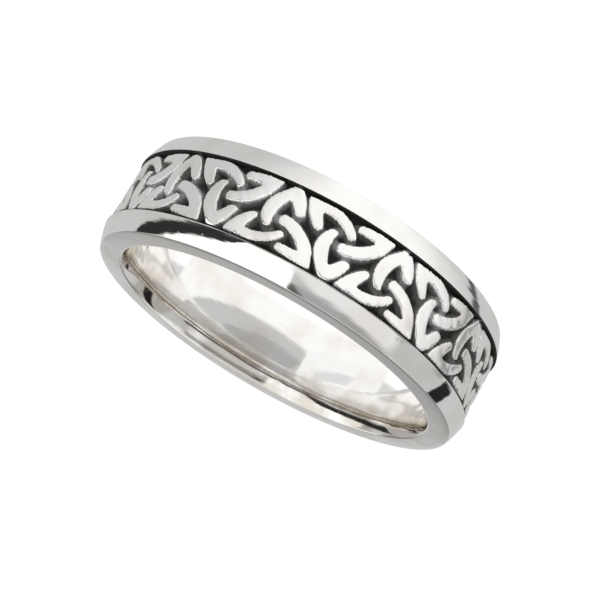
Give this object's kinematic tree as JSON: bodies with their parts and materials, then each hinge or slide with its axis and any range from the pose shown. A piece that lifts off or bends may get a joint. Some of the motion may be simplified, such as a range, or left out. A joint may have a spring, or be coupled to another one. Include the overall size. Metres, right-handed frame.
{
  "type": "celtic knot band ring",
  "caption": "Cast silver band ring with trinity knots in relief in a darkened channel between two plain bevelled rims, and a comfort-fit bore.",
  "frame": {"origin": "middle of the finger bore on the surface that the ring lies on", "axes": "+Z along the finger bore, -Y towards the knot that faces the front"},
  "size_m": [0.0242, 0.0242, 0.0066],
  "materials": {
    "silver": "polished silver, darkened in the channel"
  },
  "bodies": {
    "root": {"ring_band": "silver"}
  },
  "joints": []
}
